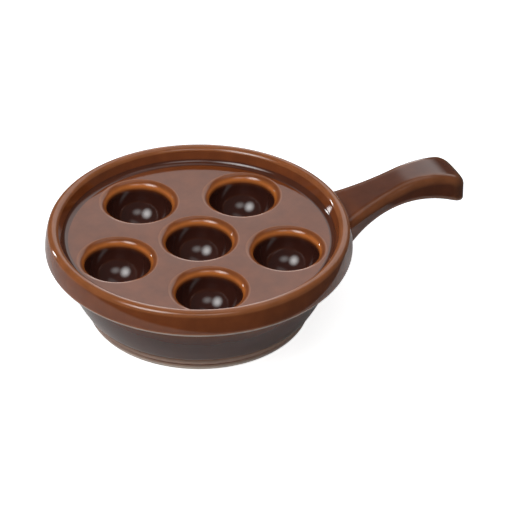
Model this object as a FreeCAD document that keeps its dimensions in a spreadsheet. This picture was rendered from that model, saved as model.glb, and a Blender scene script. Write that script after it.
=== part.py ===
import FreeCAD, Part
import math
import os
import re
import Sketcher
from FreeCAD import Vector

# Escargot dish with a side handle: one stoneware casting, sizes in millimetres.
# The origin is the centre of the foot on the table, +Z is up, the handle lies along +X.
# The dish is sized from its wells outwards, and the handle from the rim.

drivingSizes = {
    # wells: one in the middle and a circle of others around it
    "wellCount": 5.0,
    "wellRadius": 16.2,
    "wellCentreDrop": 3.4,
    "wellLipRadius": 4.1,
    "wellLand": 3.3,
    "wellWall": 4.8,
    # deck that holds the wells, and the cove where it meets the rim
    "deckMargin": 0.3,
    "deckThickness": 5.5,
    "coveRadius": 3.4,
    # rolled rim
    "rimWidth": 11.5,
    "rimHeight": 48.3,
    "trayDepth": 7.5,
    "rimDrop": 13.7,
    "rimFaceRadius": 35.0,
    "rimCrestRadius": 3.0,
    "rimLowerRadius": 2.4,
    "rimUnderRadius": 1.6,
    # tapered wall
    "rimOverhang": 5.7,
    "wallTaper": 11.9,
    "wallBowRadius": 120.0,
    "wallThickness": 5.2,
    "hollowCornerRadius": 5.0,
    # stack of rings that makes the foot
    "footInset": 5.5,
    "footWidth": 5.0,
    "footChamfer": 1.0,
    "ringRise": 4.0,
    "ringInset": 1.8,
    "ringRound": 2.6,
    "ledgeRise": 0.8,
    # handle seen from the side
    "handleLength": 67.5,
    "handleShoulder": 3.5,
    "handleTipRun": 22.5,
    "handleCrestHeight": 48.2,
    "handleCrestRadius": 46.0,
    "handleThickness": 12.6,
    "handleArchRun": 30.5,
    "handleGussetRun": 4.0,
    "handleFootRise": 3.7,
    "handleRootDepth": 24.0,
    # handle seen from above
    "handleNeckDepth": 2.0,
    "handleWaistRun": 31.5,
    "handleWaistWidth": 20.0,
    "handleFlareRadius": 115.0,
    "handleCornerRadius": 7.0,
    "handleEndRadius": 60.0,
    # roundings of the handle
    "handleTopRounding": 4.2,
    "handleLowRounding": 3.0,
    "handleRootBlend": 1.6,
}

ringCount = 2

# sizes that follow from the driving ones, as sums
sums = {
    "wellPitch": {"wellRadius": 2, "wellLipRadius": 2, "wellLand": 1},
    "deckRadius": {"wellPitch": 1, "wellRadius": 1, "wellLipRadius": 1, "deckMargin": 1},
    "deckHeight": {"rimHeight": 1, "trayDepth": -1},
    "ceilingHeight": {"deckHeight": 1, "deckThickness": -1},
    "wellCentreHeight": {"deckHeight": 1, "wellCentreDrop": -1},
    "rimRadius": {"deckRadius": 1, "rimWidth": 1},
    "rimUnderHeight": {"rimHeight": 1, "rimDrop": -1},
    "wallTopRadius": {"rimRadius": 1, "rimOverhang": -1},
    "wallFootRadius": {"wallTopRadius": 1, "wallTaper": -1},
    "wallFootHeight": {"ringRise": ringCount, "ledgeRise": 1},
    "footRadius": {"wallFootRadius": 1, "footInset": -1},
    "handleReach": {"rimRadius": 1, "handleLength": 1},
    "handleRootX": {"rimRadius": 1, "handleRootDepth": -1},
    "handleRootHeight": {"rimUnderHeight": 1, "handleShoulder": 1},
    "handleCrestX": {"handleReach": 1, "handleTipRun": -1},
    "handleArchX": {"handleReach": 1, "handleArchRun": -1},
    "handleArchHeight": {"handleCrestHeight": 1, "handleThickness": -1},
    "handleGussetX": {"rimRadius": 1, "handleGussetRun": 1},
    "handleFootHeight": {"wallFootHeight": 1, "handleFootRise": 1},
    "handleNeckX": {"rimRadius": 1, "handleNeckDepth": -1},
    "handleWaistX": {"handleReach": 1, "handleWaistRun": -1},
}

cutClearance = 3.0  # how far a cutting shape stands outside what it trims
touching = 0.01  # closer than this counts as touching
startIndex, endIndex, centreIndex = 1, 2, 3
originIndex = (-1, 1)
uprightAxisIndex = -2
levelAxisIndex = -1


def size(name):
    if name in drivingSizes:
        return drivingSizes[name]
    return sum(times * size(part) for part, times in sums[name].items())


def cell(name):
    """The size as the sheet's own cells."""
    if name in drivingSizes:
        return f"sizes.{name}"
    return "(" + " + ".join(f"{times} * {cell(part)}" for part, times in sums[name].items()) + ")"


def bound(text):
    """A sum written with the names of sizes, as the sheet's own cells."""
    return re.sub("[a-z][A-Za-z]+", lambda name: cell(name[0]), text)


class Outline:
    """A closed outline on an origin plane of its body, dimensioned from the size sheet."""

    def __init__(self, body, name, plane):
        self.sketch = body.newObject("Sketcher::SketchObject", name)
        support = [item for item in body.Origin.OriginFeatures if item.Role == plane][0]
        self.sketch.AttachmentSupport = [(support, "")]
        self.sketch.MapMode = "FlatFace"

    def line(self, start, end):
        number = self.sketch.addGeometry(Part.LineSegment(Vector(*start, 0), Vector(*end, 0)), False)
        return (number, startIndex), (number, endIndex)

    def arc(self, start, middle, end):
        curve = Part.Arc(Vector(*start, 0), Vector(*middle, 0), Vector(*end, 0))
        number = self.sketch.addGeometry(curve, False)
        first = self.sketch.getPoint(number, startIndex)
        if first.distanceToPoint(Vector(*start, 0)) > first.distanceToPoint(Vector(*end, 0)):
            return (number, endIndex), (number, startIndex)
        return (number, startIndex), (number, endIndex)

    def rule(self, kind, *points):
        """A geometric rule between ends of lines and arcs, each given as (number, end)."""
        flat = [value for point in points for value in point]
        return self.sketch.addConstraint(Sketcher.Constraint(kind, *flat))

    def across(self, point, by):
        """Places a point at a distance from the upright axis."""
        self.measured("DistanceX", (*originIndex, *point), self.sketch.getPoint(*point).x, by)

    def up(self, point, by):
        """Places a point at a height above the level axis."""
        self.measured("DistanceY", (*originIndex, *point), self.sketch.getPoint(*point).y, by)

    def at(self, point, x, y):
        self.across(point, x)
        self.up(point, y)

    def radius(self, point, by):
        self.measured("Radius", (point[0],), self.sketch.Geometry[point[0]].Radius, by)

    def measured(self, kind, geometry, value, by):
        number = self.sketch.addConstraint(Sketcher.Constraint(kind, *geometry, value))
        self.sketch.setExpression(f"Constraints[{number}]", bound(by))

    def passes(self, piece, x, y):
        """Leads a line or an arc through a point that is given by two sizes."""
        number = self.sketch.addGeometry(Part.Point(Vector(size(x), size(y), 0)), True)
        self.at((number, startIndex), x, y)
        self.rule("PointOnObject", (number, startIndex), (piece[0][0],))

    def chain(self, *pieces):
        """Joins each piece's far end to the next one's near end, and the last to the first."""
        for piece, following in zip(pieces, pieces[1:] + pieces[:1]):
            self.rule("Coincident", piece[1], following[0])


def centreOf(end):
    return (end[0], centreIndex)


def bulge(start, end, radius):
    """The middle of an arc that bulges to the right of the way from start to end."""
    across, up = end[0] - start[0], end[1] - start[1]
    chord = math.hypot(across, up)
    height = radius - math.sqrt(radius ** 2 - (chord / 2) ** 2)
    return ((start[0] + end[0]) / 2 + height * up / chord, (start[1] + end[1]) / 2 - height * across / chord)


def onCircle(centre, radius, degrees):
    turn = math.radians(degrees)
    return (centre[0] + radius * math.cos(turn), centre[1] + radius * math.sin(turn))


def touchPoint(point, centre, radius):
    """Where the upper of the two lines from a point to a circle touches it."""
    across, up = centre[0] - point[0], centre[1] - point[1]
    distance = math.hypot(across, up)
    turn = math.atan2(up, across) + math.asin(radius / distance)
    return onCircle(point, math.sqrt(distance ** 2 - radius ** 2), math.degrees(turn))


def makeSheet(doc):
    sheet = doc.addObject("Spreadsheet::Sheet", "sizes")
    for row, (name, value) in enumerate(drivingSizes.items(), start=1):
        sheet.set(f"A{row}", name)
        sheet.set(f"B{row}", str(value))
        sheet.setAlias(f"B{row}", name)
    doc.recompute()


def drawFootRings(outline):
    """The foot's rings, from the table up, each a rounded band set out from the one below."""
    bands = []
    for ring in range(ringCount):
        low = (size("footRadius") + ring * size("ringInset"), ring * size("ringRise"))
        high = (low[0] + size("ringInset"), low[1] + size("ringRise"))
        band = outline.arc(low, bulge(low, high, size("ringRound")), high)
        outline.at(band[1], f"footRadius + {ring + 1} * ringInset", f"{ring + 1} * ringRise")
        outline.radius(band[0], "ringRound")
        bands.append(band)
    return bands


def drawWall(outline):
    """The bowed wall, the small cove above it and the rim's level underside."""
    foot = (size("wallFootRadius"), size("wallFootHeight"))
    top, cove = (size("wallTopRadius"), size("rimUnderHeight")), size("rimUnderRadius")
    wallEnd, underStart = (top[0] - cove / 3, top[1] - cove / 2), (top[0] + cove / 2, top[1])
    wall = outline.arc(foot, bulge(foot, wallEnd, size("wallBowRadius")), wallEnd)
    neck = outline.arc(wallEnd, (top[0] - cove / 20, top[1] - cove / 8), underStart)
    under = outline.line(underStart, (size("rimRadius") - size("rimLowerRadius"), top[1]))
    outline.at(wall[0], "wallFootRadius", "wallFootHeight")
    outline.radius(wall[0], "wallBowRadius")
    outline.rule("Tangent", wall[1], neck[0])
    outline.radius(neck[0], "rimUnderRadius")
    outline.rule("Tangent", neck[1], under[0])
    outline.rule("Horizontal", (under[0][0],))
    outline.at(neck[1], "wallTopRadius + rimUnderRadius / 2", "rimUnderHeight")
    return wall, under


def drawRim(outline, under):
    """The rolled rim: lower corner, leaning face, crest, inner slope and cove."""
    rim, low, lowRadius = size("rimRadius"), size("rimUnderHeight"), size("rimLowerRadius")
    faceRadius, rollRadius, coveRadius = size("rimFaceRadius"), size("rimCrestRadius"), size("coveRadius")
    deck, deckRadius = size("deckHeight"), size("deckRadius")
    cornerCentre, faceCentre = (rim - lowRadius, low + lowRadius), (rim - faceRadius, low + lowRadius)
    rollHeight = size("rimHeight") - rollRadius
    lean = math.degrees(math.asin((rollHeight - faceCentre[1]) / (faceRadius - rollRadius)))
    rollCentre = onCircle(faceCentre, faceRadius - rollRadius, lean)
    coveCentre = (deckRadius, deck + coveRadius)
    corner = outline.arc(*(onCircle(cornerCentre, lowRadius, turn) for turn in (270, 315, 360)))
    face = outline.arc(*(onCircle(faceCentre, faceRadius, turn) for turn in (0, lean / 2, lean)))
    roll = outline.arc(*(onCircle(rollCentre, rollRadius, turn) for turn in (lean, 90, 135)))
    slope = outline.line(onCircle(rollCentre, rollRadius, 135), onCircle(coveCentre, coveRadius, 315))
    cove = outline.arc(*(onCircle(coveCentre, coveRadius, turn) for turn in (315, 290, 270)))
    deckTop = outline.line((deckRadius, deck), (0, deck))
    outline.rule("Tangent", under[1], corner[0])
    outline.rule("Horizontal", centreOf(corner[0]), corner[1])
    outline.across(corner[1], "rimRadius")
    outline.radius(corner[0], "rimLowerRadius")
    outline.rule("Tangent", corner[1], face[0])
    outline.radius(face[0], "rimFaceRadius")
    outline.rule("Tangent", face[1], roll[0])
    outline.radius(roll[0], "rimCrestRadius")
    outline.up(centreOf(roll[0]), "rimHeight - rimCrestRadius")
    outline.rule("Tangent", roll[1], slope[0])
    outline.rule("Tangent", slope[1], cove[0])
    outline.radius(cove[0], "coveRadius")
    outline.rule("Tangent", cove[1], deckTop[0])
    outline.at(deckTop[0], "deckRadius", "deckHeight")
    outline.rule("Horizontal", (deckTop[0][0],))
    outline.rule("PointOnObject", deckTop[1], (uprightAxisIndex,))
    return deckTop


def revolve(body, kind, name, outline):
    feature = body.newObject(f"PartDesign::{kind}", name)
    feature.Profile = outline.sketch
    feature.ReferenceAxis = (outline.sketch, ["V_Axis"])
    feature.Angle = 360
    return feature


def makeOuterForm(body):
    """The dish as a solid of revolution, before it is hollowed."""
    outline = Outline(body, "outerProfile", "YZ_Plane")
    base = outline.line((0, 0), (size("footRadius"), 0))
    outline.rule("Coincident", base[0], originIndex)
    outline.rule("Horizontal", (base[0][0],))
    outline.across(base[1], "footRadius")
    bands = drawFootRings(outline)
    ringTop = (size("footRadius") + ringCount * size("ringInset"), ringCount * size("ringRise"))
    ledge = outline.line(ringTop, (size("wallFootRadius"), size("wallFootHeight")))
    wall, under = drawWall(outline)
    steps = [base, *bands, ledge, wall]
    for piece, following in zip(steps, steps[1:]):
        outline.rule("Coincident", piece[1], following[0])
    deckTop = drawRim(outline, under)
    axis = outline.line((0, size("deckHeight")), (0, 0))
    outline.rule("Coincident", deckTop[1], axis[0])
    outline.rule("Coincident", axis[1], base[0])
    return revolve(body, "Revolution", "outerForm", outline)


def makeHollow(body):
    """The space under the deck, open at the foot, that leaves an even wall."""
    outline = Outline(body, "hollowProfile", "YZ_Plane")
    ceiling, corner = size("ceilingHeight"), size("hollowCornerRadius")
    foot = (size("footRadius") - size("footWidth"), 0)
    knee = (size("wallFootRadius") - size("wallThickness"), size("wallFootHeight"))
    shoulder = (size("wallTopRadius") - size("wallThickness"), size("rimUnderHeight"))
    bendStart, bendEnd = (shoulder[0] - corner / 3, ceiling - corner), (shoulder[0] - corner, ceiling)
    floor = outline.line((0, 0), foot)
    lower = outline.line(foot, knee)
    upper = outline.line(knee, bendStart)
    bend = outline.arc(bendStart, (shoulder[0] - corner / 2, ceiling - corner / 3), bendEnd)
    top = outline.line(bendEnd, (0, ceiling))
    axis = outline.line((0, ceiling), (0, 0))
    outline.rule("Coincident", floor[0], originIndex)
    outline.rule("Horizontal", (floor[0][0],))
    outline.across(floor[1], "footRadius - footWidth")
    outline.rule("Coincident", floor[1], lower[0])
    outline.rule("Coincident", lower[1], upper[0])
    outline.at(lower[1], "wallFootRadius - wallThickness", "wallFootHeight")
    slope = outline.line(knee, shoulder)
    outline.sketch.setConstruction(slope[0][0], True)
    outline.rule("Coincident", slope[0], lower[1])
    outline.at(slope[1], "wallTopRadius - wallThickness", "rimUnderHeight")
    outline.rule("PointOnObject", upper[1], (slope[0][0],))
    outline.rule("Tangent", upper[1], bend[0])
    outline.radius(bend[0], "hollowCornerRadius")
    outline.rule("Tangent", bend[1], top[0])
    outline.rule("Horizontal", (top[0][0],))
    outline.up(top[1], "ceilingHeight")
    outline.rule("PointOnObject", top[1], (uprightAxisIndex,))
    outline.rule("Coincident", top[1], axis[0])
    outline.rule("Coincident", axis[1], floor[0])
    return revolve(body, "Groove", "hollow", outline)


def drawBowl(body, name, offset):
    """An empty outline whose upright axis is a well's own axis."""
    outline = Outline(body, name, "XZ_Plane")
    outline.sketch.setExpression(".AttachmentOffset.Base.x", bound(offset))
    return outline


def makeBowlWall(body, name, offset):
    """The clay round a well where it hangs below the deck, as a half ball."""
    outline = drawBowl(body, name + "Profile", offset)
    centre, outside = size("wellCentreHeight"), size("wellRadius") + size("wellWall")
    bowl = outline.arc(*(onCircle((0, centre), outside, turn) for turn in (270, 315, 360)))
    lid = outline.line((outside, centre), (0, centre))
    axis = outline.line((0, centre), (0, centre - outside))
    outline.chain(bowl, lid, axis)
    outline.rule("Coincident", centreOf(bowl[0]), lid[1])
    outline.rule("PointOnObject", lid[1], (uprightAxisIndex,))
    outline.rule("PointOnObject", bowl[0], (uprightAxisIndex,))
    outline.rule("Horizontal", (lid[0][0],))
    outline.up(lid[1], "wellCentreHeight")
    outline.radius(bowl[0], "wellRadius + wellWall")
    return revolve(body, "Revolution", name, outline)


def makeWell(body, name, offset):
    """A round-bottomed well with a soft rolled lip that runs out flat into the deck."""
    outline = drawBowl(body, name + "Profile", offset)
    deck, radius, lipRadius = size("deckHeight"), size("wellRadius"), size("wellLipRadius")
    bowlCentre = (0, size("wellCentreHeight"))
    drop = deck - lipRadius - bowlCentre[1]
    turn = math.degrees(math.asin(drop / (radius + lipRadius)))
    lipCentre, lid = onCircle(bowlCentre, radius + lipRadius, turn), deck + cutClearance
    bowl = outline.arc(*(onCircle(bowlCentre, radius, angle) for angle in (270, 315, 360 + turn)))
    lip = outline.arc(*(onCircle(lipCentre, lipRadius, angle) for angle in (180 + turn, 135, 90)))
    collar = outline.line((lipCentre[0], deck), (lipCentre[0], lid))
    top = outline.line((lipCentre[0], lid), (0, lid))
    axis = outline.line((0, lid), (0, bowlCentre[1] - radius))
    outline.rule("PointOnObject", centreOf(bowl[0]), (uprightAxisIndex,))
    outline.rule("PointOnObject", bowl[0], (uprightAxisIndex,))
    outline.up(centreOf(bowl[0]), "wellCentreHeight")
    outline.radius(bowl[0], "wellRadius")
    outline.rule("Tangent", bowl[1], lip[0])
    outline.radius(lip[0], "wellLipRadius")
    outline.up(centreOf(lip[0]), "deckHeight - wellLipRadius")
    outline.rule("Vertical", centreOf(lip[0]), lip[1])
    for piece, following in ((lip, collar), (collar, top), (top, axis), (axis, bowl)):
        outline.rule("Coincident", piece[1], following[0])
    outline.rule("Vertical", (collar[0][0],))
    outline.rule("Horizontal", (top[0][0],))
    outline.rule("PointOnObject", top[1], (uprightAxisIndex,))
    outline.up(top[1], f"deckHeight + {cutClearance}")
    return revolve(body, "Groove", name, outline)


def aroundTheDish(body, feature, name):
    """Repeats a well feature round the dish; the handle lies midway between two wells."""
    pattern = body.newObject("PartDesign::PolarPattern", name)
    pattern.Originals = [feature]
    upright = [item for item in body.Origin.OriginFeatures if item.Role == "Z_Axis"][0]
    pattern.Axis = (upright, [""])
    pattern.Angle = 360
    pattern.setExpression("Occurrences", bound("wellCount"))
    body.Tip = pattern
    return pattern


def makeWells(doc, body):
    middle, outward = "0", "-wellPitch"
    makeBowlWall(body, "middleBowl", middle)
    aroundTheDish(body, makeBowlWall(body, "bowl", outward), "bowls")
    doc.recompute()
    makeWell(body, "middleWell", middle)
    aroundTheDish(body, makeWell(body, "well", outward), "wells")


def makeHandle(doc):
    """The handle as its side view cut out by its top view, with rounded edges."""
    body = doc.addObject("PartDesign::Body", "handle")
    side = drawHandleSide(body)
    pad = body.newObject("PartDesign::Pad", "handleSide")
    pad.Profile = side.sketch
    pad.Midplane = True
    pad.setExpression("Length", bound("4 * handleWaistWidth"))
    plan = drawHandlePlan(body)
    trim = body.newObject("PartDesign::Pocket", "handlePlan")
    trim.Profile = plan.sketch
    trim.Type = 1  # through the whole width
    trim.Midplane = True
    doc.recompute()
    finishEdges(doc, body, "Fillet", "handleTopRounding",
                lambda edge: isLongEdge(edge) and edge.CenterOfMass.z > size("handleArchHeight"))
    finishEdges(doc, body, "Fillet", "handleLowRounding",
                lambda edge: isLongEdge(edge) and edge.CenterOfMass.z < size("handleArchHeight"))
    return body


def finishEdges(doc, body, kind, name, wanted):
    """Rounds or chamfers the edges that are wanted by the size of that name."""
    base = body.Tip
    finish = body.newObject(f"PartDesign::{kind}", name + kind)
    finish.Base = (base, [f"Edge{number}" for number, edge in enumerate(base.Shape.Edges, start=1)
                          if wanted(edge)])
    finish.setExpression("Radius" if kind == "Fillet" else "Size", bound(name))
    body.Tip = finish
    doc.recompute()


def isLongEdge(edge):
    """True for an edge along the handle or round its end, but not at its root."""
    atRoot = max(vertex.X for vertex in edge.Vertexes) < size("handleRootX") + cutClearance
    straightAcross = edge.BoundBox.XLength < touching
    return not (atRoot or straightAcross)


def drawHandleSide(body):
    """The side view: a straight rise to the round crest, and an arch below that runs down into a gusset."""
    outline = Outline(body, "handleSideProfile", "XZ_Plane")
    root, far = size("handleRootX"), size("handleReach") + cutClearance
    crownRadius, arch = size("handleCrestRadius"), (size("handleArchX"), size("handleArchHeight"))
    crown = (size("handleCrestX"), size("handleCrestHeight") - crownRadius)
    shoulder = (size("rimRadius"), size("handleRootHeight"))
    gusset, foot = size("handleGussetX"), (size("wallFootRadius"), size("handleFootHeight"))
    rise = touchPoint(shoulder, crown, crownRadius)
    climb = (rise[1] - shoulder[1]) / (rise[0] - shoulder[0])
    crownEnd = (far, crown[1] + math.sqrt(crownRadius ** 2 - (far - crown[0]) ** 2))
    halfTurn = math.atan((arch[1] - foot[1]) / (arch[0] + gusset - 2 * foot[0]))
    archRadius = (arch[0] - gusset) / math.sin(2 * halfTurn)
    archCentre = (arch[0], arch[1] - archRadius)
    archStart = onCircle(archCentre, archRadius, 90 + math.degrees(2 * halfTurn))
    archEnd = (far, archCentre[1] + math.sqrt(archRadius ** 2 - (far - arch[0]) ** 2))
    rootLow = (root, archStart[1] - (gusset - root) * math.tan(2 * halfTurn))
    rootTop = (root, shoulder[1] - (shoulder[0] - root) * climb)
    top = outline.line(rootTop, rise)
    crest = outline.arc(rise, onCircle(crown, crownRadius, 90), crownEnd)
    tip = outline.line(crownEnd, archEnd)
    vault = outline.arc(archEnd, arch, archStart)
    brace = outline.line(archStart, rootLow)
    back = outline.line(rootLow, rootTop)
    outline.rule("Tangent", top[1], crest[0])
    outline.passes(top, "rimRadius", "handleRootHeight")
    outline.radius(crest[0], "handleCrestRadius")
    outline.at(centreOf(crest[0]), "handleCrestX", "handleCrestHeight - handleCrestRadius")
    outline.rule("Coincident", crest[1], tip[0])
    outline.rule("Vertical", (tip[0][0],))
    outline.across(tip[0], f"handleReach + {cutClearance}")
    outline.rule("Coincident", tip[1], vault[0])
    outline.across(centreOf(vault[0]), "handleArchX")
    outline.passes(vault, "handleArchX", "handleArchHeight")
    outline.rule("Tangent", vault[1], brace[0])
    outline.across(vault[1], "handleGussetX")
    outline.passes(brace, "wallFootRadius", "handleFootHeight")
    outline.rule("Coincident", brace[1], back[0])
    outline.rule("Coincident", back[1], top[0])
    outline.rule("Vertical", (back[0][0],))
    outline.across(back[0], "handleRootX")
    return outline


def drawHandlePlan(body):
    """A frame around the handle's top view; what the frame covers is cut away."""
    outline = Outline(body, "handlePlanProfile", "XY_Plane")
    root, reach = size("handleRootX") - cutClearance, size("handleReach")
    half, corner = size("handleWaistWidth") / 2, size("handleCornerRadius")
    flare, waist, neck = size("handleFlareRadius"), size("handleWaistX"), size("handleNeckX")
    wide = half + flare - math.sqrt(flare ** 2 - (waist - neck) ** 2)
    bendStart, bendEnd = (reach - corner, 1.3 * half), (reach - 0.5, 1.35 * half - corner)
    flanks = []
    for turn in (1, -1):
        straight = outline.line((root, turn * wide), (neck, turn * wide))
        flank = outline.arc((neck, turn * wide), (waist, turn * half), (bendStart[0], turn * bendStart[1]))
        bend = outline.arc((bendStart[0], turn * bendStart[1]), (reach - 2, turn * 1.1 * half),
                           (bendEnd[0], turn * bendEnd[1]))
        outline.rule("Coincident", straight[1], flank[0])
        outline.rule("Horizontal", (straight[0][0],))
        outline.across(flank[0], "handleNeckX")
        outline.rule("Tangent", flank[1], bend[0])
        outline.radius(flank[0], "handleFlareRadius")
        outline.radius(bend[0], "handleCornerRadius")
        outline.at(centreOf(flank[0]), "handleWaistX", f"{turn} * (handleWaistWidth / 2 + handleFlareRadius)")
        flanks.append((straight, bend))
    (left, leftBend), (right, rightBend) = flanks
    end = outline.arc(bendEnd, (reach, 0), (bendEnd[0], -bendEnd[1]))
    outline.rule("Tangent", leftBend[1], end[0])
    outline.rule("Tangent", rightBend[1], end[1])
    outline.radius(end[0], "handleEndRadius")
    outline.across(centreOf(end[0]), "handleReach - handleEndRadius")
    outline.rule("PointOnObject", centreOf(end[0]), (levelAxisIndex,))
    back = outline.line((root, wide), (root, -wide))
    outline.rule("Coincident", left[0], back[0])
    outline.rule("Coincident", right[0], back[1])
    outline.rule("Vertical", (back[0][0],))
    outline.across(back[0], f"handleRootX - {cutClearance}")
    drawFrame(outline)
    return outline


def drawFrame(outline):
    """The rectangle outside the handle's top view."""
    near = size("handleRootX") - 2 * cutClearance
    far = size("handleReach") + 2 * cutClearance
    side = 2 * size("handleWaistWidth") + cutClearance
    corners = [(near, -side), (far, -side), (far, side), (near, side)]
    edges = [outline.line(a, b) for a, b in zip(corners, corners[1:] + corners[:1])]
    outline.chain(*edges)
    for edge, kind in zip(edges, ("Horizontal", "Vertical", "Horizontal", "Vertical")):
        outline.rule(kind, (edge[0][0],))
    beyond = f"2 * handleWaistWidth + {cutClearance}"
    outline.at(edges[0][0], f"handleRootX - {2 * cutClearance}", f"-({beyond})")
    outline.at(edges[2][0], f"handleReach + {2 * cutClearance}", beyond)


def joinHandle(doc, body, handle):
    """Grows the handle out of the wall and the rim, with a small blend all round its root."""
    sides = [body.Shape.copy(), handle.Shape.copy()]
    join = body.newObject("PartDesign::Boolean", "handleJoin")
    join.setObjects([handle])
    body.Tip = join
    doc.recompute()
    finishEdges(doc, body, "Fillet", "handleRootBlend", lambda edge: liesOnAll(edge, sides))


def liesOnAll(edge, sides):
    """True if the middle of the edge lies on the surface of every one of the sides."""
    middle = Part.Vertex(edge.valueAt((edge.FirstParameter + edge.LastParameter) / 2))
    return all(min(middle.distToShape(face)[0] for face in side.Faces) < touching for side in sides)


def isFootEdge(edge):
    """True for the inner edge of the foot, where it stands on the table."""
    box = edge.BoundBox
    onTable = abs(box.ZMin) < touching and box.ZLength < touching
    return onTable and max(vertex.Point.Length for vertex in edge.Vertexes) < size("footRadius") - touching


def checkBuild(doc, solid):
    """Stops if anything failed to build, or if the dish isn't one sound solid."""
    for item in doc.Objects:
        if "Invalid" in item.State or "Error" in item.State:
            raise RuntimeError(f"{item.Name} did not build: {item.State}")
    if solid.isNull() or not solid.isValid() or len(solid.Solids) != 1:
        raise RuntimeError("the dish is not one sound solid")


doc = FreeCAD.newDocument("escargotDish")
makeSheet(doc)
body = doc.addObject("PartDesign::Body", "dish")
makeOuterForm(body)
handle = makeHandle(doc)
joinHandle(doc, body, handle)
makeHollow(body)
doc.recompute()
finishEdges(doc, body, "Chamfer", "footChamfer", isFootEdge)
makeWells(doc, body)
doc.recompute()
body.Label = "escargot_dish"
checkBuild(doc, body.Shape)
os.makedirs("parts", exist_ok=True)
body.Shape.exportStep("parts/escargot_dish.step")
print("escargot_dish", round(body.Shape.Volume), "cubic mm")
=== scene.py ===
import bpy
import bmesh
import math
from mathutils import Matrix, Vector
from mathutils.bvhtree import BVHTree


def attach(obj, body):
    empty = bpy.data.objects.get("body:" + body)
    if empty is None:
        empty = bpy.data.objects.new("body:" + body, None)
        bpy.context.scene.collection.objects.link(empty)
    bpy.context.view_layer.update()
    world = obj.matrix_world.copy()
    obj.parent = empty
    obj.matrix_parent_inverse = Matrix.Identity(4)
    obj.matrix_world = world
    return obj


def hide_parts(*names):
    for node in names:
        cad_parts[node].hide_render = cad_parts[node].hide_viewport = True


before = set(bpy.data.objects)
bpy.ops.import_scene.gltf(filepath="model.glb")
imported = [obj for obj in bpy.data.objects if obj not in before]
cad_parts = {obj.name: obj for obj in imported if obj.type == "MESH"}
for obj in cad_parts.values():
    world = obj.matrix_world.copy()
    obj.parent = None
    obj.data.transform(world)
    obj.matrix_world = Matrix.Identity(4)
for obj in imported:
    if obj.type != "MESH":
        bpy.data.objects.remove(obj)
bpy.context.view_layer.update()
scene = bpy.context.scene
print("frame loaded", sorted(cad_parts))

# all sizes are in millimetres and match the solid, but for a slightly larger blend at the handle's root
dish = {
    "rimRadius": 76.0, "rimFaceRadius": 35.0, "rimCrestRadius": 3.0, "rimHeight": 48.3,
    "rimUnderHeight": 34.6, "rimLowerRadius": 2.4, "rimUnderRadius": 1.6,
    "deckHeight": 40.8, "deckRadius": 64.5, "deckThickness": 5.5, "coveRadius": 3.4,
    "wallTopRadius": 70.3, "wallFootRadius": 58.4, "wallFootHeight": 8.8, "wallBowRadius": 120.0,
    "wallThickness": 5.2, "footRadius": 52.9, "footWidth": 5.0, "footChamfer": 1.0,
    "ringCount": 2, "ringRise": 4.0, "ringInset": 1.8, "ringRound": 2.6, "hollowCornerRadius": 5.0,
    "turnSteps": 288, "creaseAngle": 38,
    # points closer than this are one, on a level, or at the seam of the outer skin and the underside
    "samePoint": 0.001, "sameHeight": 0.01, "seamGap": 0.02,
}
wells = {
    "pitchRadius": 43.9, "around": 5, "radius": 16.2, "depth": 19.6, "lipRadius": 4.1, "wall": 4.8,
    "turnSteps": 112, "bowlSegments": 96, "bowlRings": 56,
}
handle = {
    "reach": 143.5, "rootX": 60.0, "crestX": 121.0, "crestHeight": 48.2, "crestRadius": 46.0,
    "riseAngle": 14.5, "archX": 113.0, "archHeight": 35.6, "archRadius": 62.0, "gussetX": 80.0,
    "neckX": 74.0, "waistX": 112.0, "waistWidth": 20.0, "flareRadius": 115.0, "cornerRadius": 7.0,
    "endRadius": 60.0, "topRounding": 4.2, "lowRounding": 3.0, "rootBlend": 1.8, "blankHeight": 14.0,
    "topSteps": 10, "lowSteps": 8,
    # how deep its end is sunk in the clay, and the least distance from the dish that the blend counts
    "sunk": 2.6, "blendStart": 0.04,
    # slices that let the blank bend: start, step and count, close together at the root
    "rootSlices": (62, 0.35, 52), "gripSlices": (81, 1.5, 40), "widthSlices": (-15, 1.5, 21),
    "heightSlices": 16, "sliceGap": 0.0005, "samePoint": 0.01,
}


def onCircle(centre, radius, degrees):
    turn = math.radians(degrees)
    return (centre[0] + radius * math.cos(turn), centre[1] + radius * math.sin(turn))


def arcPoints(centre, radius, start, end, steps):
    return [onCircle(centre, radius, start + (end - start) * i / steps) for i in range(steps + 1)]


def angleOf(centre, point):
    return math.degrees(math.atan2(point[1] - centre[1], point[0] - centre[0]))


def circleMeet(first, firstRadius, second, secondRadius, side):
    # where two circles cross, on the left (1) or right (-1) of the way from first to second
    a, b = Vector(first), Vector(second)
    way = b - a
    along = (firstRadius ** 2 - secondRadius ** 2 + way.length_squared) / (2 * way.length)
    off = math.sqrt(firstRadius ** 2 - along ** 2)
    way.normalize()
    return tuple(a + way * along + Vector((-way.y, way.x)) * off * side)


def bowArc(start, end, radius, steps):
    # an arc from start to end that bulges to the right of the way
    a, b = Vector(start), Vector(end)
    way = (b - a).normalized()
    middle = (a + b) / 2
    off = math.sqrt(radius ** 2 - (b - a).length_squared / 4)
    centre = tuple(middle + Vector((-way.y, way.x)) * off)
    return arcPoints(centre, radius, angleOf(centre, start), angleOf(centre, end), steps)


def roundCorner(before, corner, after, radius, steps):
    c = Vector(corner)
    a, b = (Vector(before) - c).normalized(), (Vector(after) - c).normalized()
    half = a.angle(b) / 2
    centre = c + (a + b).normalized() * radius / math.sin(half)
    first, last = c + a * radius / math.tan(half), c + b * radius / math.tan(half)
    start, end = angleOf(centre, first), angleOf(centre, last)
    end = start + (end - start + 180) % 360 - 180
    return arcPoints(tuple(centre), radius, start, end, steps)


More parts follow.
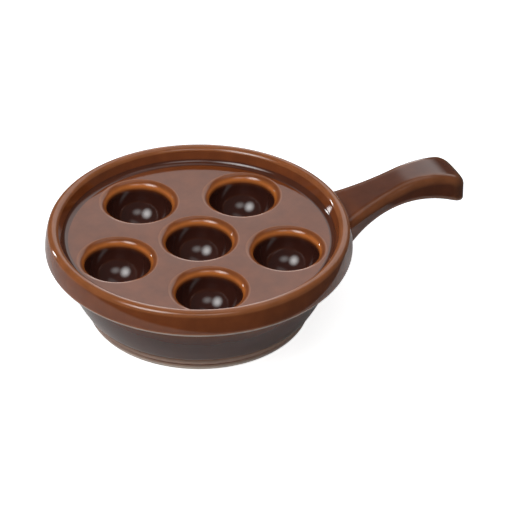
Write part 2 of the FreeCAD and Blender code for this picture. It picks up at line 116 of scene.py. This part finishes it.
def footProfile():
    # from the bare standing edge up the stacked rings to the wall
    p = dish
    inside = Vector((p["footRadius"] - p["footWidth"], 0))
    knee = Vector((p["wallFootRadius"] - p["wallThickness"], p["wallFootHeight"]))
    points = [tuple(inside + (knee - inside).normalized() * p["footChamfer"]),
              (inside.x + p["footChamfer"], 0), (p["footRadius"], 0)]
    for ring in range(p["ringCount"]):
        low = (p["footRadius"] + ring * p["ringInset"], ring * p["ringRise"])
        high = (low[0] + p["ringInset"], low[1] + p["ringRise"])
        points += bowArc(low, high, p["ringRound"], steps=10)[1:]
    return points


def wallProfile():
    # the bowed wall and the small cove under the rim
    p = dish
    foot = (p["wallFootRadius"], p["wallFootHeight"])
    neck = (p["wallTopRadius"] + p["rimUnderRadius"] / 2, p["rimUnderHeight"] - p["rimUnderRadius"])
    centre = circleMeet(foot, p["wallBowRadius"], neck, p["wallBowRadius"] + p["rimUnderRadius"], side=1)
    wall = arcPoints(centre, p["wallBowRadius"], angleOf(centre, foot), angleOf(centre, neck), steps=16)
    cove = angleOf(neck, wall[-1]) % 360
    return wall + arcPoints(neck, p["rimUnderRadius"], cove, 90, steps=8)[1:]


def rimProfile():
    # lower corner, leaning face, rolled crest, inner slope and the cove that runs out on the deck
    p = dish
    rim, low, corner = p["rimRadius"], p["rimUnderHeight"], p["rimLowerRadius"]
    crest, cove = p["rimCrestRadius"], p["coveRadius"]
    faceCentre = (rim - p["rimFaceRadius"], low + corner)
    lean = math.degrees(math.asin((p["rimHeight"] - crest - faceCentre[1]) / (p["rimFaceRadius"] - crest)))
    crestCentre = onCircle(faceCentre, p["rimFaceRadius"] - crest, lean)
    coveCentre = (p["deckRadius"], p["deckHeight"] + cove)
    gap = Vector(coveCentre) - Vector(crestCentre)
    slope = angleOf((0, 0), gap) % 360 - math.degrees(math.acos((crest + cove) / gap.length))
    points = arcPoints((rim - corner, low + corner), corner, 270, 360, steps=8)
    points += arcPoints(faceCentre, p["rimFaceRadius"], 0, lean, steps=12)[1:]
    points += arcPoints(crestCentre, crest, lean, slope, steps=20)[1:]
    return points + arcPoints(coveCentre, cove, slope + 180, 270, steps=12)


def hollowProfile():
    # up the inside of the foot and the wall to the underside of the deck
    p = dish
    knee = (p["wallFootRadius"] - p["wallThickness"], p["wallFootHeight"])
    shoulder = (p["wallTopRadius"] - p["wallThickness"], p["rimUnderHeight"])
    ceiling = p["deckHeight"] - p["deckThickness"]
    share = (ceiling - knee[1]) / (shoulder[1] - knee[1])
    corner = (knee[0] + (shoulder[0] - knee[0]) * share, ceiling)
    bend = roundCorner(knee, corner, (0, ceiling), p["hollowCornerRadius"], steps=10)
    return [footProfile()[0], knee] + bend + [(0, ceiling)]


def wellProfile():
    # the round bowl and its rolled lip
    w, deck = wells, dish["deckHeight"]
    centre = (0, deck - w["depth"] + w["radius"])
    drop = deck - w["lipRadius"] - centre[1]
    turn = math.degrees(math.asin(drop / (w["radius"] + w["lipRadius"])))
    lipCentre = onCircle(centre, w["radius"] + w["lipRadius"], turn)
    points = arcPoints(centre, w["radius"], 270, 360 + turn, steps=28)
    return points + arcPoints(lipCentre, w["lipRadius"], 180 + turn, 90, steps=16)[1:]


def spinProfile(bm, points, steps):
    verts = [bm.verts.new((r, 0, z)) for r, z in points]
    edges = [bm.edges.new(pair) for pair in zip(verts, verts[1:])]
    bmesh.ops.spin(bm, geom=verts + edges, cent=(0, 0, 0), axis=(0, 0, 1), angle=math.tau, steps=steps,
                   use_merge=True)


def wellCentres():
    centres = [(0.0, 0.0)]
    for i in range(wells["around"]):
        centres.append(onCircle((0, 0), wells["pitchRadius"], 180 + i * 360 / wells["around"]))
    return centres


def meshObject(name, bm):
    mesh = bpy.data.meshes.new(name)
    bm.to_mesh(mesh)
    bm.free()
    piece = bpy.data.objects.new(name, mesh)
    scene.collection.objects.link(piece)
    return piece


def putInOrder(bm):
    # cuts and bevels leave their points in any order, and merging depends on it: sorted along a skew line
    skew = Vector((1, 0.137, 12.31))
    bm.verts.sort(key=lambda v: v.co.dot(skew))
    bm.faces.sort(key=lambda f: f.calc_center_median().dot(skew))


def makeUnderside():
    # the hollow below the deck, with the bowls of the wells hanging into it
    bm = bmesh.new()
    points = hollowProfile()
    mouth = points[0][1]
    spinProfile(bm, [(0, mouth)] + points, dish["turnSteps"])
    bmesh.ops.remove_doubles(bm, verts=bm.verts, dist=dish["samePoint"])
    bmesh.ops.recalc_face_normals(bm, faces=bm.faces)
    hollow = meshObject("hollowTool", bm)
    bm = bmesh.new()
    outside = wells["radius"] + wells["wall"]
    height = dish["deckHeight"] - wells["depth"] + wells["radius"]
    for x, y in wellCentres():
        bmesh.ops.create_uvsphere(bm, u_segments=wells["bowlSegments"], v_segments=wells["bowlRings"],
                                  radius=outside, matrix=Matrix.Translation((x, y, height)))
    bowls = meshObject("bowlTool", bm)
    cut = hollow.modifiers.new("bowls", "BOOLEAN")
    cut.operation = "DIFFERENCE"
    cut.solver = "EXACT"
    cut.object = bowls
    shaped = hollow.evaluated_get(bpy.context.evaluated_depsgraph_get())
    bm = bmesh.new()
    bm.from_mesh(shaped.to_mesh())
    shaped.to_mesh_clear()
    for tool in (hollow, bowls):
        bpy.data.objects.remove(tool)
    putInOrder(bm)
    lid = [face for face in bm.faces if max(abs(v.co.z - mouth) for v in face.verts) < dish["samePoint"]]
    bmesh.ops.delete(bm, geom=lid, context="FACES")
    bmesh.ops.reverse_faces(bm, faces=bm.faces)
    mesh = bpy.data.meshes.new("underside")
    bm.to_mesh(mesh)
    bm.free()
    return mesh


def makeWell():
    # one well, with its depth kept for the glaze: 0 at the deck and 1 at the bottom
    bm = bmesh.new()
    depthLayer = bm.verts.layers.float.new("wellDepth")
    spinProfile(bm, wellProfile(), wells["turnSteps"])
    for v in bm.verts:
        v[depthLayer] = (dish["deckHeight"] - v.co.z) / wells["depth"]
    mesh = bpy.data.meshes.new("well")
    bm.to_mesh(mesh)
    bm.free()
    return mesh


def makeDish(bm):
    # the outer skin with its wells, then the underside; gives the outer skin alone to fit the handle to
    spinProfile(bm, footProfile() + wallProfile() + rimProfile(), dish["turnSteps"])
    well = makeWell()
    for x, y in wellCentres():
        placed = well.copy()
        placed.transform(Matrix.Translation((x, y, 0)))
        bm.from_mesh(placed)
    bmesh.ops.remove_doubles(bm, verts=bm.verts, dist=dish["samePoint"])
    deckEdges = [e for e in bm.edges
                 if e.is_boundary and abs(e.verts[0].co.z - dish["deckHeight"]) < dish["sameHeight"]]
    bmesh.ops.triangle_fill(bm, edges=deckEdges, use_beauty=True, normal=(0, 0, 1))
    bmesh.ops.recalc_face_normals(bm, faces=bm.faces)
    outerSkin = BVHTree.FromBMesh(bm)
    bm.from_mesh(makeUnderside())
    bmesh.ops.remove_doubles(bm, verts=bm.verts, dist=dish["seamGap"])
    bmesh.ops.recalc_face_normals(bm, faces=bm.faces)
    return outerSkin


def handlePlan():
    # the handle's top view: flared flanks, rounded corners and a bowed end
    h = handle
    half = h["waistWidth"] / 2
    flankCentre = (h["waistX"], half + h["flareRadius"])
    endCentre = (h["reach"] - h["endRadius"], 0)
    corner = circleMeet(endCentre, h["endRadius"] - h["cornerRadius"],
                        flankCentre, h["flareRadius"] + h["cornerRadius"], side=-1)
    toFlank, toEnd = angleOf(flankCentre, corner), angleOf(endCentre, corner)
    neck = math.degrees(math.asin((h["neckX"] - h["waistX"]) / h["flareRadius"])) - 90
    flank = arcPoints(flankCentre, h["flareRadius"], neck, toFlank, steps=40)
    bend = arcPoints(corner, h["cornerRadius"], toFlank + 180, toEnd, steps=14)
    end = arcPoints(endCentre, h["endRadius"], toEnd, 0, steps=8)
    upper = [(h["rootX"], flank[0][1])] + flank + bend[1:] + end[1:]
    return upper + [(x, -y) for x, y in reversed(upper[:-1])]


def handleTop(x):
    # height of the top line: a straight rise that runs into the round crest
    h = handle
    centre = (h["crestX"], h["crestHeight"] - h["crestRadius"])
    touch = onCircle(centre, h["crestRadius"], 90 + h["riseAngle"])
    if x < touch[0]:
        return touch[1] - (touch[0] - x) * math.tan(math.radians(h["riseAngle"]))
    return centre[1] + math.sqrt(h["crestRadius"] ** 2 - (x - centre[0]) ** 2)


def handleLow(x):
    # height of the low line: the arch, and the gusset that leaves it straight towards the wall
    h = handle
    centre = (h["archX"], h["archHeight"] - h["archRadius"])
    at = max(x, h["gussetX"])
    rise = math.sqrt(h["archRadius"] ** 2 - (at - centre[0]) ** 2)
    slope = (centre[0] - h["gussetX"]) / math.sqrt(h["archRadius"] ** 2 - (h["gussetX"] - centre[0]) ** 2)
    return centre[1] + rise - slope * (at - x)


def slicePlaces(start, step, count):
    return [start + step * i for i in range(count)]


def cutAcross(bm, normal, places):
    for place in places:
        point = Vector(normal) * place
        everything = list(bm.verts) + list(bm.edges) + list(bm.faces)
        bmesh.ops.bisect_plane(bm, geom=everything, dist=handle["sliceGap"], plane_co=point, plane_no=normal)


def makeHandle(outerSkin):
    # a flat blank of the top view with rounded edges, sliced and bent to the side view
    h = handle
    bm = bmesh.new()
    blank = bm.faces.new([bm.verts.new((x, y, 0)) for x, y in handlePlan()])
    top = bmesh.ops.extrude_face_region(bm, geom=[blank])
    bmesh.ops.translate(bm, verts=[v for v in top["geom"] if isinstance(v, bmesh.types.BMVert)],
                        vec=(0, 0, h["blankHeight"]))
    bmesh.ops.recalc_face_normals(bm, faces=bm.faces)
    for height, radius, steps in ((h["blankHeight"], h["topRounding"], h["topSteps"]),
                                  (0, h["lowRounding"], h["lowSteps"])):
        # all its edges but those at the root
        edges = [e for e in bm.edges if all(abs(v.co.z - height) < dish["samePoint"] for v in e.verts)
                 and max(v.co.x for v in e.verts) > h["rootX"] + h["samePoint"]]
        bmesh.ops.bevel(bm, geom=edges, offset=radius, offset_type="OFFSET", segments=steps, profile=0.5,
                        affect="EDGES", material=-1, clamp_overlap=False)
    putInOrder(bm)
    bmesh.ops.remove_doubles(bm, verts=bm.verts, dist=h["sliceGap"])
    cutAcross(bm, (1, 0, 0), slicePlaces(*h["rootSlices"]) + slicePlaces(*h["gripSlices"]))
    cutAcross(bm, (0, 1, 0), slicePlaces(*h["widthSlices"]))
    low, high = h["lowRounding"], h["blankHeight"] - h["topRounding"]
    slices = h["heightSlices"]
    cutAcross(bm, (0, 0, 1), [low + (high - low) * i / slices for i in range(slices + 1)])
    for v in bm.verts:
        bottom, crown = handleLow(v.co.x) + low, handleTop(v.co.x) - h["topRounding"]
        if v.co.z <= low:
            v.co.z += bottom - low
        elif v.co.z >= high:
            v.co.z += crown - high
        else:
            v.co.z = bottom + (crown - bottom) * (v.co.z - low) / (high - low)
    bm.normal_update()
    blendRoot(bm, outerSkin)
    putInOrder(bm)
    bmesh.ops.remove_doubles(bm, verts=bm.verts, dist=h["samePoint"])
    bmesh.ops.recalc_face_normals(bm, faces=bm.faces)
    return bm


def blendRoot(bm, outerSkin):
    # swells the handle into a small cove where it leaves the rim and the wall, and ends it inside the clay
    radius = handle["rootBlend"]
    moves = {}
    for v in bm.verts:
        if v.co.x > dish["rimRadius"] + 2 * radius:
            continue
        near, normal = outerSkin.find_nearest(v.co)[:2]
        outside = (v.co - near).dot(normal)
        depth = min(max(outside, handle["blendStart"]), radius)
        swell = radius - math.sqrt(radius ** 2 - (radius - depth) ** 2)
        moves[v] = v.normal * swell * (1 - max(0, v.normal.dot(normal)))
    for v, move in moves.items():
        v.co += move
    foot, top = dish["wallFootHeight"], dish["rimUnderHeight"]
    for v in bm.verts:
        share = min(max((v.co.z - foot) / (top - foot), 0), 1)
        wall = dish["wallFootRadius"] + (dish["wallTopRadius"] - dish["wallFootRadius"]) * share
        inner = math.sqrt((wall - handle["sunk"]) ** 2 - v.co.y ** 2)
        v.co.x = max(v.co.x, inner)


# how the bend of the surface is taken: shortest edge in mm, limits in 1/mm, and rounds of averaging
bendRange = {
    "shortestEdge": 0.05, "most": 0.25, "gripLeast": -0.05, "gripMost": 0.14, "gripAverages": 10,
}


def markBend(bm, bendLayer, dishCount):
    # glaze draws thin over convex edges, so each vertex keeps the bend of the surface around it
    bm.normal_update()
    most = bendRange["most"]
    for v in bm.verts:
        bends = []
        for e in v.link_edges:
            length = max(e.calc_length(), bendRange["shortestEdge"])
            bends.append(2 * v.normal.dot(v.co - e.other_vert(v).co) / length ** 2)
        v[bendLayer] = min(max(sum(bends) / max(len(bends), 1), -most), most)
    # the handle's slices are uneven, so its values are held to a soft edge's and averaged all round
    bm.verts.ensure_lookup_table()
    grip = bm.verts[dishCount:]
    for v in grip:
        v[bendLayer] = min(max(v[bendLayer], bendRange["gripLeast"]), bendRange["gripMost"])
    for turn in range(bendRange["gripAverages"]):
        means = []
        for v in grip:
            around = sum(e.other_vert(v)[bendLayer] for e in v.link_edges)
            means.append((v[bendLayer] + around) / (1 + len(v.link_edges)))
        for v, mean in zip(grip, means):
            v[bendLayer] = mean


def makeGlazedDish():
    # dish and handle in one mesh, built in millimetres and brought to metres at the end
    bm = bmesh.new()
    bm.verts.layers.float.new("wellDepth")
    bendLayer = bm.verts.layers.float.new("edgeBend")
    outerSkin = makeDish(bm)
    print("dish", len(bm.verts), "vertices", "open edges", sum(e.is_boundary for e in bm.edges))
    handleMesh = bpy.data.meshes.new("handle")
    grip = makeHandle(outerSkin)
    print("handle", len(grip.verts), "vertices", "open edges", sum(e.is_boundary for e in grip.edges))
    grip.to_mesh(handleMesh)
    grip.free()
    dishCount = len(bm.verts)
    bm.from_mesh(handleMesh)
    markBend(bm, bendLayer, dishCount)
    for face in bm.faces:
        face.smooth = True
    for edge in bm.edges:
        if len(edge.link_faces) == 2:
            edge.smooth = edge.calc_face_angle() < math.radians(dish["creaseAngle"])
    bmesh.ops.scale(bm, vec=(0.001, 0.001, 0.001), verts=bm.verts)
    piece = meshObject("glazedDish", bm)
    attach(piece, "root")
    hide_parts("escargot_dish")
    return piece


def colour(text):
    # an sRGB hex colour as Blender's linear values
    channels = [int(text[i:i + 2], 16) / 255 for i in (1, 3, 5)]
    return [c / 12.92 if c <= 0.04045 else ((c + 0.055) / 1.055) ** 2.4 for c in channels] + [1.0]


def addNode(tree, kind, settings=None, values=None, links=None):
    node = tree.nodes.new(kind)
    for name, value in (settings or {}).items():
        setattr(node, name, value)
    for name, value in (values or {}).items():
        node.inputs[name].default_value = value
    for name, source in (links or {}).items():
        tree.links.new(source, node.inputs[name])
    return node


glaze = {
    # the dark pooled colour is glaze pooled in hollows, and it also paints the shade low on the wall under
    # the rim
    # the pale clay colour also paints highlights on the sharp rounded edges low on the dish and the floor's
    # reflection on the foot
    "pooledGlazeAndShade": "#40211a", "body": "#814320", "thin": "#cc8250", "lip": "#cf7838", "paleClayAndHighlight": "#dacdc0",
    "roughness": 0.07, "ior": 1.55,
    # size of the cloudy patches and ripples in millimetres, and how strong they are
    "mottleSize": 9.0, "mottleShade": 0.12, "mottleDetail": 4.0, "mottleSpan": (0.3, 0.7),
    "rippleSize": 7.0, "rippleHeight": 0.03, "rippleDetail": 1.0,
    # where the colour changes, by depth in a well
    "deckDepth": (0.0, 0.02), "poolDepth": (0.08, 0.30), "lipStart": (0.02, 0.10), "lipEnd": (0.09, 0.21),
    # by the bend of the surface in 1/mm
    "edgeBend": (0.02, 0.16), "sharpBend": (0.195, 0.207), "hollowBend": (-0.02, -0.12),
    # by the height, and by the place along the handle, in metres
    # the wall's painted shade starts below the rim's underside and is full low on the wall
    "lowHeight": (0.040, 0.038), "standingHeight": (0.0030, 0.0018), "wallShadeHeight": (0.034, 0.022),
    "dishEnd": (0.078, 0.076), "gripStart": (0.074, 0.088),
    # how much of the new colour comes in at most
    "rimEdgeShare": 0.35, "wellEdgeShare": 0.15, "paleEdgeHighlightShare": 0.6, "standingShare": 0.95,
    "wallShadeShare": 0.9, "gripShare": 0.58, "hollowShare": 0.7,
}


def addRamp(tree, source, span, top=1.0, bottom=0.0):
    # a smooth step from bottom to top over the span; top is a number or another node's output
    values = {"From Min": span[0], "From Max": span[1], "To Min": bottom}
    links = {"Value": source}
    if isinstance(top, float):
        values["To Max"] = top
    else:
        links["To Max"] = top
    ramp = addNode(tree, "ShaderNodeMapRange", {"interpolation_type": "SMOOTHSTEP"}, values, links)
    return ramp.outputs["Result"]


def addMath(tree, operation, first, second):
    node = addNode(tree, "ShaderNodeMath", {"operation": operation}, links={0: first, 1: second})
    return node.outputs["Value"]


def glazedStoneware():
    # iron-brown glaze fired on stoneware: a glassy skin with faint clouds and ripples, amber where it
    # runs thin over lips and edges, nearly black where it pools in the wells and coves, darker on the
    # handle, painted shade low on the wall under the rim, pale lines on the sharp rounded edges low down
    # that are partly thin glaze and partly painted highlight, and bare pale clay where the foot stands,
    # partly a painted reflection
    material = bpy.data.materials.new("glazedStoneware")
    material.use_nodes = True
    tree = material.node_tree
    tree.nodes.clear()
    g = glaze
    place = addNode(tree, "ShaderNodeTexCoord").outputs["Object"]
    axes = addNode(tree, "ShaderNodeSeparateXYZ", links={"Vector": place})
    along, height = axes.outputs["X"], axes.outputs["Z"]
    bend = addNode(tree, "ShaderNodeAttribute", {"attribute_name": "edgeBend"}).outputs["Fac"]
    deep = addNode(tree, "ShaderNodeAttribute", {"attribute_name": "wellDepth"}).outputs["Fac"]
    edgeShare = addRamp(tree, deep, g["deckDepth"], top=g["wellEdgeShare"], bottom=g["rimEdgeShare"])
    edge = addRamp(tree, bend, g["edgeBend"], top=edgeShare)
    # painted highlight: on the dish below the rim's top, the sharply rounded lower rim corner and foot rings
    # get pale lines for their bright reflections, partly also thin glaze
    low = addRamp(tree, height, g["lowHeight"], top=g["paleEdgeHighlightShare"])
    onDish = addRamp(tree, along, g["dishEnd"], top=low)
    paleEdgeHighlight = addRamp(tree, bend, g["sharpBend"], top=onDish)
    # bare pale clay where the foot stands, which is also a painted reflection of the bright floor on the
    # foot's lowest part
    standing = addRamp(tree, height, g["standingHeight"], top=g["standingShare"])
    # painted shade: the wall under the rim's overhang turns to the dark pooled colour towards the foot
    wallShade = addRamp(tree, height, g["wallShadeHeight"], top=g["wallShadeShare"])
    grip = addRamp(tree, along, g["gripStart"], top=g["gripShare"])
    # the wall's painted shade, together with the darker colour of the handle
    wallShadeAndGrip = addMath(tree, "MAXIMUM", wallShade, grip)
    hollow = addRamp(tree, bend, g["hollowBend"], top=g["hollowShare"])
    pool = addRamp(tree, deep, g["poolDepth"])
    lipEnd = addRamp(tree, deep, g["lipEnd"], top=0.0, bottom=1.0)
    lip = addMath(tree, "MULTIPLY", addRamp(tree, deep, g["lipStart"]), lipEnd)
    colours = addNode(tree, "ShaderNodeMix", {"data_type": "RGBA"},
                      {"A": colour(g["body"]), "B": colour(g["pooledGlazeAndShade"])}, {"Factor": hollow})
    for share, name in ((wallShadeAndGrip, "pooledGlazeAndShade"), (pool, "pooledGlazeAndShade"), (edge, "thin"), (paleEdgeHighlight, "paleClayAndHighlight"),
                        (standing, "paleClayAndHighlight"), (lip, "lip")):
        colours = addNode(tree, "ShaderNodeMix", {"data_type": "RGBA"}, {"B": colour(g[name])},
                          {"Factor": share, "A": colours.outputs["Result"]})
    mottle = addNode(tree, "ShaderNodeTexNoise",
                     values={"Scale": 1000 / g["mottleSize"], "Detail": g["mottleDetail"]},
                     links={"Vector": place})
    shade = addNode(tree, "ShaderNodeMapRange",
                    values={"From Min": g["mottleSpan"][0], "From Max": g["mottleSpan"][1],
                            "To Min": 1 - g["mottleShade"], "To Max": 1 + g["mottleShade"]},
                    links={"Value": mottle.outputs["Fac"]})
    mottled = addNode(tree, "ShaderNodeHueSaturation",
                      links={"Color": colours.outputs["Result"], "Value": shade.outputs["Result"]})
    ripple = addNode(tree, "ShaderNodeTexNoise",
                     values={"Scale": 1000 / g["rippleSize"], "Detail": g["rippleDetail"]},
                     links={"Vector": place})
    relief = addNode(tree, "ShaderNodeBump", values={"Distance": g["rippleHeight"] / 1000, "Strength": 1.0},
                     links={"Height": ripple.outputs["Fac"]})
    shader = addNode(tree, "ShaderNodeBsdfPrincipled",
                     values={"Roughness": g["roughness"], "IOR": g["ior"]},
                     links={"Base Color": mottled.outputs["Color"], "Normal": relief.outputs["Normal"]})
    addNode(tree, "ShaderNodeOutputMaterial", links={"Surface": shader.outputs["BSDF"]})
    return material


piece = makeGlazedDish()
piece.data.materials.append(glazedStoneware())
print("glazed dish built")

# the photograph's viewpoint: above the front left, with a long lens; millimetres and degrees
view = {
    "position": (-842.919, -1836.496, 1437.776), "elevation": 34.857, "turn": -25.455, "roll": 0.426,
    "focalPixels": 4979, "framePixels": 512, "sensor": 36, "farthestMetres": 50,
}


def makeCamera():
    data = bpy.data.cameras.new("camera")
    camera = bpy.data.objects.new("camera", data)
    scene.collection.objects.link(camera)
    e, a, roll = (math.radians(view[name]) for name in ("elevation", "turn", "roll"))
    right = Vector((math.cos(a), math.sin(a), 0))
    forward = Vector((-math.sin(a) * math.cos(e), math.cos(a) * math.cos(e), -math.sin(e)))
    up = right.cross(forward)
    side = right * math.cos(roll) + up * math.sin(roll)
    top = up * math.cos(roll) - right * math.sin(roll)
    turned = Matrix((side, top, -forward)).transposed().to_4x4()
    camera.matrix_world = Matrix.Translation(Vector(view["position"]) / 1000) @ turned
    data.sensor_width = view["sensor"]
    data.lens = view["focalPixels"] * view["sensor"] / view["framePixels"]
    data.clip_end = view["farthestMetres"]
    scene.camera = camera


makeCamera()

studio = {
    "floor": "#f4f4f4", "floorRadius": 3.0, "floorGlow": 0.9, "floorRoughness": 0.9,
    "sheetRadius": 0.25, "sheetPlace": (-0.04, 0.12, -0.001), "sheetGlow": 0,
    "groundSteps": 96, "surround": 0.10,
    "lights": [
        # name, direction from the dish, distance, width and height in metres, brightness, share of soft edge
        ("keyLeft", (-0.59, -0.22, 0.78), 2.6, 2.2, 2.2, 9.2, 1.0),
        ("keyFront", (-0.14, -0.60, 0.79), 2.6, 2.2, 1.5, 2.6, 1.0),
        ("boxRight", (0.55, 0.62, 0.60), 2.8, 4.0, 2.3, 1.2, 0.5),
        ("panelBack", (0.424, 0.889, 0.19), 2.6, 0.9, 1.3, 3.0, 0.6),
        ("stripBack", (-0.507, 0.844, 0.16), 2.6, 0.26, 0.9, 16.0, 0.3),
        ("overhead", (0.25, 0.12, 1.0), 2.8, 3.0, 1.8, 0.7, 0.6),
    ],
}


def makeSoftbox(name, direction, distance, width, height, brightness, soft):
    # an area light that is brightest in the middle and fades towards its edges; its Parametric
    # coordinates run from 0 to 1, so the middle is at 0.5 and the edges lie 0.5 away
    data = bpy.data.lights.new(name, "AREA")
    data.shape = "RECTANGLE"
    data.size, data.size_y = width, height
    data.energy = brightness * math.pi * width * height
    data.use_nodes = True
    tree = data.node_tree
    spot = addNode(tree, "ShaderNodeNewGeometry").outputs["Parametric"]
    flat = addNode(tree, "ShaderNodeVectorMath", {"operation": "MULTIPLY"}, {1: (1, 1, 0)}, {0: spot})
    away = addNode(tree, "ShaderNodeVectorMath", {"operation": "DISTANCE"}, {1: (0.5, 0.5, 0)},
                   {0: flat.outputs["Vector"]})
    fade = addRamp(tree, away.outputs["Value"], (0.5, 0.5 - 0.5 * soft))
    tree.links.new(fade, tree.nodes["Emission"].inputs["Strength"])
    lamp = bpy.data.objects.new(name, data)
    way = Vector(direction).normalized()
    lamp.location = way * distance
    lamp.rotation_euler = way.to_track_quat("Z", "Y").to_euler()
    scene.collection.objects.link(lamp)


def makeGround(name, radius, place, glow):
    bm = bmesh.new()
    bmesh.ops.create_circle(bm, cap_ends=True, segments=studio["groundSteps"], radius=radius)
    bmesh.ops.translate(bm, verts=bm.verts, vec=place)
    ground = meshObject(name, bm)
    material = bpy.data.materials.new(name)
    material.use_nodes = True
    shader = material.node_tree.nodes["Principled BSDF"]
    shader.inputs["Base Color"].default_value = colour(studio["floor"])
    shader.inputs["Roughness"].default_value = studio["floorRoughness"]
    shader.inputs["Emission Color"].default_value = colour(studio["floor"])
    shader.inputs["Emission Strength"].default_value = glow
    ground.data.materials.append(material)
    return ground


def makeStudio():
    # a pale floor that only the camera sees, and a small white sheet under it that the glaze reflects
    floor = makeGround("paleFloor", studio["floorRadius"], (0, 0, 0), studio["floorGlow"])
    floor.visible_glossy = False
    floor.visible_diffuse = False
    floor.visible_shadow = False
    makeGround("whiteSheet", studio["sheetRadius"], studio["sheetPlace"], studio["sheetGlow"])
    for light in studio["lights"]:
        makeSoftbox(*light)
    world = bpy.data.worlds.new("studio")
    world.use_nodes = True
    world.node_tree.nodes["Background"].inputs["Color"].default_value = (1, 1, 1, 1)
    world.node_tree.nodes["Background"].inputs["Strength"].default_value = studio["surround"]
    scene.world = world
    scene.view_settings.view_transform = "Standard"


makeStudio()
print("studio ready")
